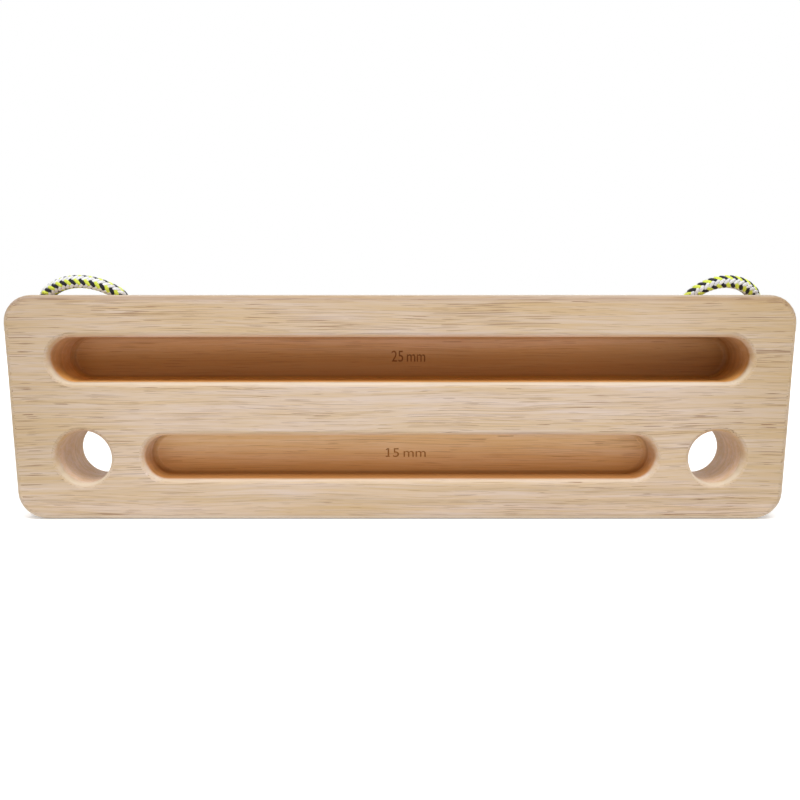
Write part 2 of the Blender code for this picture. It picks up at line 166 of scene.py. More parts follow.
# The cord's route, as the solids have it
CORD_D = 0.007
CORD_R = CORD_D / 2
BORE_SLOPE = math.radians(45)
OUTER_MARGIN = 0.0168
BIGHT_SPAN = {"left": 0.0392, "right": 0.0330}
BIGHT_RISE = 0.0066
BIGHT_LEAN = math.radians(28)
BIGHT_AXIS_Y = 0.001
BIGHT_AXIS_LIFT = 0.0009
ARCH_STEPS = 10
BORE_SET_OFF = 0.0028
STRAND_SAG = 0.0004
STRAND_SIDE = 0.0006
STRAND_TOP_Y = 0.0062
STRAND_BEND_Y = 0.0105
KNOT_RING = 1.25 * CORD_D
KNOT_RISE = 0.55 * CORD_D
KNOT_PLAY = 0.0004
KNOT_STAND_OFF = 0.0006
KNOT_DROP = KNOT_RING + KNOT_RISE + CORD_R + KNOT_PLAY
KNOT_INSET = 0.0012
KNOT_FROM = math.radians(330)
KNOT_TO = math.radians(30)
KNOT_POINTS = 49
KNOT_LEAD_Y = 0.0010
KNOT_LEAD_Z = 0.0006
TAIL_STEPS = (
    (0.0010, 0.0004, 0.0070),
    (0.0034, 0.0008, 0.0135),
    (0.0082, 0.0010, 0.0178),
    (0.0140, 0.0010, 0.0186),
)
HANK_LOOPS = 3
HANK_LAYERS = 2
HANK_RUN = 15 * CORD_D
HANK_FOLD_R = 2.5 * CORD_D
HANK_STEP = 1.19 * CORD_D
HANK_LAYER = 1.1 * CORD_D
HANK_PULL = 0.015
RUN_POINTS = 4
FOLD_POINTS = 8
HANK_GAP_TO_BOARD = 0.0008
FLOOR_GAP = 0.0002
LYING_Z = FLOOR_GAP + CORD_R
TIE_W = 0.010
TIE_T = 0.0014
TIE_LIFT = 0.0022
TIE_GAP = 0.0004
TIE_R = 0.004
TIE_LAP = 0.011
TIE_LAP_RISE = (-0.003, 0.003)
TIE_LAP_LIFT = 1.06 * TIE_T
TIE_STEP = 0.0004
TIE_AROUND = 36
TIE_SQUARENESS = 0.35
TIE_HALF_T = 0.47 * TIE_T
RIB_PITCH = 0.0016
RIB_RELIEF = 0.10
ROW_PITCH = 0.0009
PATH_STEPS = 4000
FIRST_BEND = 0.0050
# The stretches behind the board, in shares of their way across to the hank and of their drop:
# falling, (share across, metres out, share down), then on the floor, (share across, share up)
FALLS = {
    "left": (
        (0.002, 0.0082, 0.121),
        (0.011, 0.0094, 0.272),
        (0.028, 0.0094, 0.534),
        (0.065, 0.0085, 0.758),
        (0.146, 0.0070, 0.913),
        (0.293, 0.0058, 0.992),
    ),
    "right": (
        (0.002, 0.0082, 0.121),
        (0.008, 0.0094, 0.272),
        (0.022, 0.0095, 0.525),
        (0.057, 0.0087, 0.748),
        (0.132, 0.0072, 0.904),
        (0.264, 0.0060, 0.990),
    ),
}
RUNS = {
    "left": ((0.466, 0), (0.762, 1), (0.892, 1)),
    "right": ((0.406, 0), (0.513, 0.13), (0.655, 0.60), (0.797, 0.95), (0.919, 1)),
}
SIDES = {"left": -1, "right": 1}
# Steps of the cord's fine line for each of its points
LINE_STEPS = 80

# The braid: eight columns of floats round the cord, yellow and black one way, white the other
COLUMNS = 8
FLOAT_SPACING = 0.0025
COLOURED_REACH = 0.86
WHITE_REACH = 0.68
FLOAT_SLANT = 0.70
FLOAT_SQUARENESS = 6
BRAID_RELIEF = 0.00050
YARN_STRANDS = 5
ARCH_PHASE = {"left": math.radians(22), "right": math.radians(74)}
HELD_STEP = 0.00035
HELD_AROUND = 64
FREE_STEP = 0.0008
FREE_AROUND = 40
PATH_EVERY = 4
MELTED_TIP = 0.0022
MELTED_R = 0.97 * CORD_R
TIP_START = 0.02

# The depth marks: words, size (width and height) and middle on the slot's back wall
MARKS = (
    ("25 mm", (0.0192, 0.0064), (0.0048, FRONT + 0.025, 0.0884)),
    ("15 mm", (0.0216, 0.0050), (0.0038, FRONT + 0.015, 0.0345)),
)
MARK_DEPTH = 0.0004
WORD_SPACE = 0.6
LETTER_STEPS = 4
SERIF_T = 0.0006
FOOT_REACH = 0.0011
FLAG_REACH = 0.0010
FLAG_DROP = 0.0007
SERIF_DEPTH = 0.98 * MARK_DEPTH

# The board's mesh: how near corners are merged, how short an edge is dropped, and the angle past
# which an edge stays sharp
MERGE_WITHIN = 6e-6
DROP_WITHIN = 1e-7
LETTER_MERGE_WITHIN = 1e-6
SHARP_ANGLE = math.radians(35)


def set_all(thing, **settings):
    """A thing with its properties set by name."""
    for key, value in settings.items():
        setattr(thing, key, value)
    return thing


def add_object(name, data, **settings):
    """A new object in the scene, with its settings."""
    obj = bpy.data.objects.new(name, data)
    bpy.context.scene.collection.objects.link(obj)
    return set_all(obj, **settings)


def finished_mesh(obj):
    """A new mesh of an object as its modifiers or its letters leave it."""
    bpy.context.view_layer.update()
    graph = bpy.context.evaluated_depsgraph_get()
    return bpy.data.meshes.new_from_object(obj.evaluated_get(graph))


def coat(mesh, material):
    """Gives a mesh its one material."""
    mesh.materials.clear()
    mesh.materials.append(material)


@contextmanager
def edited(mesh):
    """A mesh opened for editing. Its faces are turned outwards before it closes."""
    bm = bmesh.new()
    bm.from_mesh(mesh)
    yield bm
    bmesh.ops.recalc_face_normals(bm, faces=bm.faces)
    bm.to_mesh(mesh)
    bm.free()


def lengths_along(line):
    """The distance from a line's start to each of its points."""
    return np.concatenate([[0], np.cumsum(np.linalg.norm(np.diff(line, axis=0), axis=1))])


def read_off(line, at):
    """Points of a line at the given distances from its start."""
    along = lengths_along(line)
    return np.stack([np.interp(at, along, line[:, k]) for k in range(3)], 1)


def nearest(line, place):
    """The number of the line's point that is nearest to a place."""
    return np.linalg.norm(line - np.array(place), axis=1).argmin()


def smooth_line(points):
    """A natural cubic curve through the points, as a fine line."""
    p = np.array(points, float)
    t = lengths_along(p)
    n, h = len(p), np.diff(t)
    matrix, right = np.eye(n), np.zeros((n, 3))
    inner = np.arange(1, n - 1)
    matrix[inner, inner - 1] = h[:-1]
    matrix[inner, inner] = 2 * (h[:-1] + h[1:])
    matrix[inner, inner + 1] = h[1:]
    slopes = np.diff(p, axis=0) / h[:, None]
    right[1:-1] = 6 * np.diff(slopes, axis=0)
    bend = np.linalg.solve(matrix, right)
    fine = np.linspace(0, t[-1], LINE_STEPS * n)
    i = np.clip(np.searchsorted(t, fine) - 1, 0, n - 2)
    a, b, w = (t[i + 1] - fine)[:, None], (fine - t[i])[:, None], h[i][:, None]
    line = (a**3 * bend[i] + b**3 * bend[i + 1]) / (6 * w)
    return line + (p[i] / w - bend[i] * w / 6) * a + (p[i + 1] / w - bend[i + 1] * w / 6) * b


def outer_mouth_x(side):
    """Where the cord crosses the top face at the outer end of an arch."""
    return SIDES[side] * (BOARD_W / 2 - OUTER_MARGIN)


def outer_bore_x(side):
    """A bore lies a little outside its arch's foot, so that the cord bends into it."""
    return outer_mouth_x(side) + SIDES[side] * BORE_SET_OFF


def inner_bore_x(side):
    """As outer_bore_x, at the other foot of the arch."""
    return outer_mouth_x(side) - SIDES[side] * (BIGHT_SPAN[side] + BORE_SET_OFF)


def arch_points(side, count):
    """A round arch over the top, leaning to the front, from the outer mouth to the inner one."""
    span, sign = BIGHT_SPAN[side], SIDES[side]
    rise = BIGHT_RISE / math.cos(BIGHT_LEAN)
    radius = (span**2 / 4 + rise**2) / (2 * rise)
    half = math.asin(span / 2 / radius)
    angle = half * (1 - 2 * np.arange(count + 1) / count)
    up = radius * (np.cos(angle) - math.cos(half))
    x = outer_mouth_x(side) - sign * span / 2 + sign * radius * np.sin(angle)
    y = BIGHT_AXIS_Y - up * math.sin(BIGHT_LEAN)
    z = BOARD_H + BIGHT_AXIS_LIFT + up * math.cos(BIGHT_LEAN)
    return list(zip(x, y, z))


def bore_points(bore_x, way):
    """The cord's way through a bore, from just under its top mouth to its back mouth."""
    x = bore_x + way * STRAND_SIDE
    start = BOARD_H - STRAND_SAG
    fall = math.tan(BORE_SLOPE)
    return [(x, y, start - fall * y) for y in (STRAND_TOP_Y, STRAND_BEND_Y, BACK)]


def knot_points(side):
    """An overhand knot: a cord twice round a ring while it winds three times about it."""
    ring_x = KNOT_RING * math.sin(2 * KNOT_TO)
    x0 = outer_bore_x(side) - SIDES[side] * (ring_x + KNOT_INSET)
    y0 = BACK + KNOT_STAND_OFF + CORD_R + KNOT_RISE
    z0 = BOARD_H - BACK * math.tan(BORE_SLOPE) - KNOT_DROP
    turns = np.linspace(KNOT_FROM, KNOT_TO, KNOT_POINTS)
    reach = KNOT_RING + KNOT_RISE * np.cos(3 * turns)
    x = x0 - SIDES[side] * reach * np.sin(2 * turns)
    return list(zip(x, y0 + KNOT_RISE * np.sin(3 * turns), z0 + reach * np.cos(2 * turns)))


def tail_points(side):
    """The knot's tail: up a little, and over towards the middle as its weight bends it."""
    x, y, z = knot_points(side)[-1]
    return [(x - SIDES[side] * dx, y + dy, z + dz) for dx, dy, dz in TAIL_STEPS]


def held_points(side):
    """The held cord from the end of the knot's tail to the inner back mouth."""
    sign = SIDES[side]
    into_knot = knot_points(side)
    out_of_bore = bore_points(outer_bore_x(side), -sign)[::-1]
    start, end = np.array(out_of_bore[0]), np.array(into_knot[0])
    lead = (start + end) / 2 + (0, KNOT_LEAD_Y, KNOT_LEAD_Z)
    lead[0] = start[0]
    points = tail_points(side)[::-1] + into_knot[::-1] + [tuple(lead)]
    points += out_of_bore + arch_points(side, ARCH_STEPS)
    return points + bore_points(inner_bore_x(side), sign)


def hank_centre():
    """How far back the hank's middle lies, with its near side along the board's back."""
    last_run = RUN_POINTS / (2 * (RUN_POINTS + FOLD_POINTS))
    reach = HANK_FOLD_R + HANK_STEP * (HANK_LOOPS / HANK_LAYERS + last_run)
    return BACK + HANK_GAP_TO_BOARD + CORD_R + reach


def hank_points():
    """The hank spirals in on the floor, climbs a layer along a run and spirals out again."""
    half_run = HANK_RUN / 2
    half_loop = RUN_POINTS + FOLD_POINTS
    turning = HANK_LOOPS / HANK_LAYERS
    k = np.arange(2 * half_loop * HANK_LOOPS + RUN_POINTS + 1)
    reach = HANK_FOLD_R + HANK_STEP * np.abs(k / (2 * half_loop) - turning)
    flip = np.where((k // half_loop) % 2, -1, 1)
    place = k % half_loop
    on_run = place <= RUN_POINTS
    run_x = half_run * (2 * place / RUN_POINTS - 1)
    drawn = np.where(on_run, np.cos(math.pi * run_x / HANK_RUN) ** 2, 0)
    angle = math.pi * (place - RUN_POINTS) / FOLD_POINTS
    x = np.where(on_run, run_x, half_run + reach * np.sin(angle))
    y = np.where(on_run, HANK_PULL * drawn - reach, -reach * np.cos(angle))
    climbed = np.clip((k - 2 * half_loop * turning) / RUN_POINTS, 0, 1)
    z = LYING_Z + TIE_LIFT * drawn + HANK_LAYER * climbed
    points = list(zip(flip * x, hank_centre() + flip * y, z))
    (x0, y0, z0), (x1, y1, z1) = points[0], points[-1]
    return [(x0 - CORD_D, y0, z0)] + points + [(x1 + CORD_D, y1, z1)]


def stretch_points(side):
    """From an inner bore, down behind the board and along the floor to an end of the hank."""
    x, y, z = bore_points(inner_bore_x(side), SIDES[side])[-1]
    hank_x, hank_y, hank_z = hank_points()[{"left": 0, "right": -1}[side]]
    across, drop = hank_x - x, z - LYING_Z
    points = [(x, y, z), (x, y + FIRST_BEND, z - FIRST_BEND)]
    points += [(x + share * across, y + out, z - down * drop) for share, out, down in FALLS[side]]
    for share, up in RUNS[side]:
        points.append((x + share * across, hank_y, LYING_Z + up * (hank_z - LYING_Z)))
    return points


def whole_cord():
    """One cord, knot to knot: its fine line, and how far along it its inner back mouths are."""
    left, right = held_points("left"), held_points("right")
    points = left + stretch_points("left")[1:] + hank_points()
    points += stretch_points("right")[:0:-1] + right[::-1]
    line = smooth_line(points)
    along = lengths_along(line)
    return line, [along[nearest(line, mouth)] for mouth in (left[-1], right[-1])]


def carried_frames(centres):
    """Two unit vectors square to the line at each station, carried along it without a turn.

    Each station's first vector is the last one's, less its part along the line there.
    """
    ways = np.gradient(centres, axis=0)
    ways /= np.linalg.norm(ways, axis=1)[:, None]
    first = np.empty_like(ways)
    vector = np.cross(ways[0], (0, 1, 0))
    for i, way in enumerate(ways):
        vector = vector - way * (vector @ way)
        vector = vector / np.linalg.norm(vector)
        first[i] = vector
    return first, np.cross(ways, first)


def float_height(column, step):
    """The braid's height, 0 to 1, by column round the cord and float spacings along it.

    A float is a round yarn that slants over its column, and its neighbours' floats slant the other
    way and lie half a step on, so that their ends reach in between. Across itself a float falls as
    a circle does, and along itself as 1 - (distance / reach)^squareness.
    """
    def yarn(middle, way, offset, reach):
        beside = column - middle - 2 * np.round((column - middle) / 2)
        across = step - way * FLOAT_SLANT * beside + offset
        part = across - np.round(across)
        round_part = np.sqrt(np.clip(1 - (2 * part) ** 2, 0, 1))
        return round_part * np.clip(1 - (beside / reach) ** FLOAT_SQUARENESS, 0, 1)

    return np.maximum(yarn(0, 1, 0, COLOURED_REACH), yarn(1, -1, 0.5, WHITE_REACH))


def closed_tube(name, points, uv):
    """A tube from a grid of points: rings by points round them, its end rings filled.

    uv holds one more column than points, so that the pattern closes without a smear.
    """
    rows, count = points.shape[:2]
    i, j = np.meshgrid(np.arange(rows - 1), np.arange(count), indexing="ij")
    k = (j + 1) % count
    here, ahead = i * count, (i + 1) * count
    corners = np.stack([here + j, here + k, ahead + k, ahead + j], -1)
    mesh = bpy.data.meshes.new(name)
    mesh.from_pydata(points.reshape(-1, 3), [], corners.reshape(-1, 4))
    layer = mesh.uv_layers.new(name="pattern")
    corner_uv = np.stack([uv[i, j], uv[i, j + 1], uv[i + 1, j + 1], uv[i + 1, j]], 2)
    layer.data.foreach_set("uv", corner_uv.astype(np.float32).ravel())
    mesh.shade_smooth()
    with edited(mesh) as bm:
        bmesh.ops.holes_fill(bm, edges=[e for e in bm.edges if e.is_boundary], sides=0)
    return add_object(name, mesh)


def cord_piece(name, centres, first, second, along, twist, around, end_rows):
    """A braided length of cord: rings about its line, their radius lifted by the braid's height.

    end_rows is how many rows at a bare end round down to a melted tip, first and last.
    """
    turn = np.arange(around + 1) / around
    column = np.broadcast_to(COLUMNS * turn, (len(along), around + 1))
    step = np.broadcast_to(along[:, None] / FLOAT_SPACING, column.shape)
    height = float_height(column[:, :-1], step[:, :-1])
    angle = math.tau * turn[None, :-1] + twist[:, None]
    radius = CORD_R - BRAID_RELIEF * (1 - height)
    for rows, ends in zip(end_rows, (slice(None), slice(None, None, -1))):
        share = (np.arange(rows) + TIP_START) / max(rows, 1)
        tip = np.sqrt(1 - (1 - share) ** 2)[:, None]
        melted = MELTED_R * tip
        blend = np.clip(2 * share[:, None] - 1, 0, 1)
        radius[ends][:rows] = melted * (1 - blend) + radius[ends][:rows] * tip * blend
    ring = np.cos(angle)[..., None] * first[:, None] + np.sin(angle)[..., None] * second[:, None]
    points = centres[:, None] + radius[..., None] * ring
    return closed_tube(name, points, np.stack([column, step], -1))


def make_cord(material):
    """The cord as three pieces by name, then the free one's path and its length.

    A held length at each end lies in its knot, bores and arch, and the free length between them.
    """
    line, (left_mouth, right_mouth) = whole_cord()
    whole = lengths_along(line)[-1]
    tip = round(MELTED_TIP / HELD_STEP)
    lengths = (
        ("left_held_cord", 0, left_mouth, HELD_STEP, HELD_AROUND, (tip, 0)),
        ("free_cord", left_mouth, right_mouth, FREE_STEP, FREE_AROUND, (0, 0)),
        ("right_held_cord", right_mouth, whole, HELD_STEP, HELD_AROUND, (0, tip)),
    )
    parts = [np.linspace(a, b, round((b - a) / step) + 1) for _, a, b, step, *_ in lengths]
    along = np.concatenate([parts[0], parts[1][1:], parts[2][1:]])
    centres = read_off(line, along)
    first, second = carried_frames(centres)
    share = np.clip((along - left_mouth) / (right_mouth - left_mouth), 0, 1)
    twist = braid_twist(centres, first, second, share)
    made, paths, start = {}, {}, 0
    for (name, *_, around, ends), part in zip(lengths, parts):
        rows = slice(start, start + len(part))
        start += len(part) - 1
        piece = cord_piece(
            name, centres[rows], first[rows], second[rows], along[rows], twist[rows], around, ends
        )
        coat(piece.data, material)
        made[name], paths[name] = piece, centres[rows]
    return made, paths["free_cord"][::PATH_EVERY], right_mouth - left_mouth


def braid_twist(centres, first, second, share):
    """The braid's turn at each station: the left arch's, then by share the right arch's.

    The braid repeats every two columns, so the change between the arches is the shortest one.
    """
    wanted = {side: crown_turn(centres, first, second, side) for side in SIDES}
    period = math.tau * 2 / COLUMNS
    change = (wanted["right"] - wanted["left"] + period / 2) % period - period / 2
    return wanted["left"] + change * share


def crown_turn(centres, first, second, side):
    """The turn that brings the braid's first column to its place at the crown of an arch."""
    crown = nearest(centres, arch_points(side, 2)[1])
    phase = ARCH_PHASE[side]
    square = np.array((0, -math.cos(BIGHT_LEAN), -math.sin(BIGHT_LEAN)))
    rise = np.array((0, -math.sin(BIGHT_LEAN), math.cos(BIGHT_LEAN)))
    wanted = square * math.cos(phase) + rise * math.sin(phase)
    return math.atan2(wanted @ second[crown], wanted @ first[crown])


def place_held_cord(made):
    """Each held length stands for its knot, strands and arch, and bends at the arch's mouths."""
    for side in SIDES:
        held = made[f"{side}_held_cord"]
        parts = ("knot", "outer_strand", "bight", "inner_strand")
        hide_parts(*(f"{side}_{part}" for part in parts))
        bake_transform(held)


def place_free_cord(free):
    """The free length stands for the stretches and the hank, and its strap is on it."""
    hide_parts("left_stretch", "cord_hank", "right_stretch")
    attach(free, "board")


def make_tie(material):
    """The strap: a thin rounded band round the hank's waist, its end lapped over its start.

    The path is a rounded rectangle. Over the lap it moves out by the strap's own thickness.
    """
    centre, flat_w, flat_h, corner = waist_shape()
    whole = 4 * (flat_w + flat_h) + math.tau * corner
    s = np.arange(-TIE_LAP, whole + TIE_STEP / 4, TIE_STEP)
    place, way = rounded_path(np.mod(s, whole), flat_w, flat_h, corner)
    out = np.stack([way[:, 1], -way[:, 0]], 1)
    low, high = TIE_LAP_RISE
    rise = np.clip((-s - low) / (high - low), 0, 1)
    rise = rise * rise * (3 - 2 * rise)
    place = place + out * (rise * TIE_LAP_LIFT)[:, None]
    t = np.linspace(0, math.tau, TIE_AROUND, endpoint=False)
    across = TIE_W / 2 * rounded_wave(np.cos(t))
    thick = TIE_HALF_T * rounded_wave(np.sin(t))
    ribs = 1 + RIB_RELIEF * np.cos(math.tau * s / RIB_PITCH)[:, None]
    x = np.broadcast_to(across, (len(s), len(t)))
    yz = centre + place[:, None] + out[:, None] * (thick * ribs)[..., None]
    points = np.concatenate([x[..., None], yz], -1)
    u = np.append(across, across[0])
    uv = np.stack(np.broadcast_arrays(u[None, :], s[:, None]), -1)
    obj = closed_tube("strap", points, uv)
    coat(obj.data, material)
    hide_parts("hank_tie")
    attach(obj, "board")
    return obj


def waist_shape():
    """The strap's path round the hank: (middle, half flat in Y, half flat in Z, corner radius)."""
    waist = np.array([p for p in hank_points() if abs(p[0]) < HANK_RUN / 8])
    spread = 2 * HANK_PULL / HANK_RUN * TIE_W / 2
    room = CORD_R + TIE_GAP
    low_y = waist[:, 1].min() - room - spread
    high_y = waist[:, 1].max() + room + spread
    half_h = (waist[:, 2].max() + room - TIE_T) / 2
    half_w = (high_y - low_y) / 2
    centre = np.array(((low_y + high_y) / 2, TIE_T + half_h))
    corner = TIE_R + TIE_T / 2
    return centre, half_w + TIE_T / 2 - corner, half_h + TIE_T / 2 - corner, corner


def rounded_wave(wave):
    """A cosine or sine made squarer, so that two of them draw a rounded rectangle."""
    return np.sign(wave) * np.abs(wave) ** TIE_SQUARENESS


def rounded_path(s, flat_w, flat_h, corner):
    """(place, direction) at distance s round a rounded rectangle in Y and Z.

    It runs clockwise from its top middle. A corner turns the direction evenly by a quarter turn,
    and the place is the sum of short steps along the direction.
    """
    bend = corner * math.pi / 2
    around = (bend, 2 * flat_h, bend, 2 * flat_w, bend, 2 * flat_h, bend)
    lengths = np.array((flat_w, *around, flat_w))
    ends = np.cumsum(lengths)

    def direction(at):
        part = np.searchsorted(ends, at, side="right").clip(0, len(lengths) - 1)
        here = at - (ends - lengths)[part]
        turned = np.where(part % 2 == 1, here / corner, 0.0)
        heading = -((part + 1) // 2 - part % 2) * math.pi / 2 - turned
        return np.stack([np.cos(heading), np.sin(heading)], 1)

    fine = np.linspace(0, ends[-1], PATH_STEPS + 1)
    way = direction(fine)
    steps = (way[1:] + way[:-1]) / 2 * np.diff(fine)[:, None]
    track = np.concatenate([[[0, flat_h + corner]], steps]).cumsum(axis=0)
    place = np.stack([np.interp(s, fine, track[:, k]) for k in range(2)], 1)
    return place, direction(s)


def text_cutter(words, size, middle):
    """Plain letters as a solid, fitted to a width and a height, sunk in a wall that faces -Y."""
    curve = bpy.data.curves.new("letters", "FONT")
    set_all(curve, body=words, extrude=0.5, space_word=WORD_SPACE, resolution_u=LETTER_STEPS)
    letters = add_object("letters", curve)
    mesh = finished_mesh(letters)
    bpy.data.objects.remove(letters)
    points = np.empty(len(mesh.vertices) * 3, np.float32)
    mesh.vertices.foreach_get("co", points)
    points = points.reshape(-1, 3)
    low, high = points.min(0), points.max(0)
    x, up, out = ((points - (low + high) / 2) / (high - low)).T
    placed = np.stack([x * size[0], -out * 2 * MARK_DEPTH, up * size[1]], 1)
    mesh.vertices.foreach_set("co", (placed + middle).astype(np.float32).ravel())
    with edited(mesh) as bm:
        bmesh.ops.remove_doubles(bm, verts=bm.verts, dist=LETTER_MERGE_WITHIN)
        if words.startswith("1"):
            add_serifs(bm, placed, middle)
    return add_object("letter_cutter", mesh)


def add_serifs(bm, placed, middle):
    """The foot and the flag of a leading 1, which the plain letters lack: two four-sided bars."""
    stem = placed[placed[:, 0] < placed[:, 0].min() + SERIF_T]
    (left, _, foot), (right, _, top) = stem.min(0), stem.max(0)
    foot_x, flag_x = (left - FOOT_REACH, right + FOOT_REACH), left - FLAG_REACH
    foot_top, flag_top = foot + SERIF_T, top - FLAG_DROP
    bars = (
        ((foot_x[0], foot), (foot_x[1], foot), (foot_x[1], foot_top), (foot_x[0], foot_top)),
        ((flag_x, flag_top - SERIF_T), (right, top - SERIF_T), (right, top), (flag_x, flag_top)),
    )
    for bar in bars:
        ends = [
            [bm.verts.new((x + middle[0], y + middle[1], z + middle[2])) for x, z in bar]
            for y in (-SERIF_DEPTH, SERIF_DEPTH)
        ]
        bm.faces.new(ends[0])
        bm.faces.new(ends[1][::-1])
        for k in range(4):
            m = (k + 1) % 4
            bm.faces.new((ends[0][k], ends[1][k], ends[1][m], ends[0][m]))


def make_board(wood, burnt):
    """A copy of the board's own mesh, merged and shaded smooth, with its depth marks burnt in."""
    mesh = frame["nodes"]["board"].data.copy()
    mesh.name = "routed_board"
    board = add_object("routed_board", mesh)
    with edited(mesh) as bm:
        bmesh.ops.remove_doubles(bm, verts=bm.verts, dist=MERGE_WITHIN)
        bmesh.ops.dissolve_degenerate(bm, edges=bm.edges, dist=DROP_WITHIN)
    coat(mesh, wood)
    cutters = [text_cutter(*mark) for mark in MARKS]
    for cutter in cutters:
        coat(cutter.data, burnt)
        boolean = board.modifiers.new(cutter.name, "BOOLEAN")
        set_all(boolean, operation="DIFFERENCE", solver="EXACT", material_mode="TRANSFER")
        set_all(boolean, use_self=True, object=cutter)
    marked = finished_mesh(board)
    board.modifiers.clear()
    board.data = marked
    for cutter in cutters:
        bpy.data.objects.remove(cutter)
    marked.shade_smooth()
    marked.set_sharp_from_angle(angle=SHARP_ANGLE)
    even = board.modifiers.new("even normals", "WEIGHTED_NORMAL")
    set_all(even, mode="FACE_AREA", weight=100, keep_sharp=True)
    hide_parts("board")
    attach(board, "board")


class Nodes:
    """Short ways to add and join the nodes of one tree."""

    def __init__(self, tree):
        self.tree = tree

    def add(self, kind, **settings):
        return set_all(self.tree.nodes.new(kind), **settings)

    def join(self, value, socket):
        """Links a socket, or writes a plain value."""
        if isinstance(value, bpy.types.NodeSocket):
            self.tree.links.new(value, socket)
        else:
            socket.default_value = value

    def feed(self, node, *values):
        """Joins values to a node's inputs, in their order."""
        for value, socket in zip(values, node.inputs):
            self.join(value, socket)
        return node

    def fill(self, node, inputs):
        """Joins values to a node's inputs by name."""
        for label, value in inputs.items():
            self.join(value, node.inputs[label])
        return node

    def math(self, operation, *values, clamp=False):
        node = self.add("ShaderNodeMath", operation=operation, use_clamp=clamp)
        return self.feed(node, *values).outputs[0]

    def times(self, *values):
        """The product of some values."""
        product = values[0]
        for value in values[1:]:
            product = self.math("MULTIPLY", product, value)
        return product

    def rest(self, value):
        """What a share leaves: one less the value."""
        return self.less(1.0, value)

    def less(self, value, taken, clamp=False):
        return self.math("SUBTRACT", value, taken, clamp=clamp)

    def scaled(self, value, by, plus):
        """value * by + plus"""
        return self.math("MULTIPLY_ADD", value, by, plus)

    def larger(self, *values):
        return self.math("MAXIMUM", *values)

    def vector(self, operation, *values):
        """A vector from other vectors, or the length of one."""
        node = self.feed(self.add("ShaderNodeVectorMath", operation=operation), *values)
        return node.outputs["Value" if operation == "LENGTH" else "Vector"]

    def split(self, vector):
        return self.feed(self.add("ShaderNodeSeparateXYZ"), vector).outputs

    def mix(self, share, a, b, blend="MIX"):
        node = self.add("ShaderNodeMix", data_type="RGBA", blend_type=blend)
        return self.fill(node, {"Factor": share, "A": a, "B": b}).outputs["Result"]

    def tint(self, share, colour, by):
        """A colour multiplied by another, as far as the share says."""
        return self.mix(share, colour, self.mix(1.0, colour, by, "MULTIPLY"))

    def grey(self, value):
        return self.feed(self.add("ShaderNodeCombineColor"), value, value, value).outputs[0]

    def span(self, value, low, high, out_low=0.0, out_high=1.0):
        """Maps low to high onto out_low to out_high, smoothly and within them."""
        node = self.add("ShaderNodeMapRange", interpolation_type="SMOOTHSTEP")
        return self.feed(node, value, low, high, out_low, out_high).outputs["Result"]

    def noise(self, place, scale, detail=2.0, roughness=0.5, output="Fac"):
        """Noise on a place that is first stretched by a scale for each axis."""
        mapping = self.fill(self.add("ShaderNodeMapping"), {"Vector": place, "Scale": scale})
        settings = {"Scale": 1.0, "Detail": detail, "Roughness": roughness}
        node = self.fill(self.add("ShaderNodeTexNoise"), settings)
        self.join(mapping.outputs[0], node.inputs["Vector"])
        return node.outputs[output]


def new_group(name, vectors, colours, floats):
    """A node group: (its tree, its Nodes, the sockets that it is given, those that it puts out).

    It is given named vectors, and colours that each material may change. It puts out Color and
    named floats.
    """
    tree = bpy.data.node_groups.new(name, "ShaderNodeTree")

    def new_socket(label, in_out, kind):
        kind = f"NodeSocket{kind}"
        return tree.interface.new_socket(name=label, in_out=in_out, socket_type=kind)

    for label in vectors:
        new_socket(label, "INPUT", "Vector")
    for label, colour in colours.items():
        new_socket(label, "INPUT", "Color").default_value = colour
    new_socket("Color", "OUTPUT", "Color")
    for label in floats:
        new_socket(label, "OUTPUT", "Float")
    n = Nodes(tree)
    given = n.add("NodeGroupInput").outputs
    return tree, n, given, n.add("NodeGroupOutput").inputs


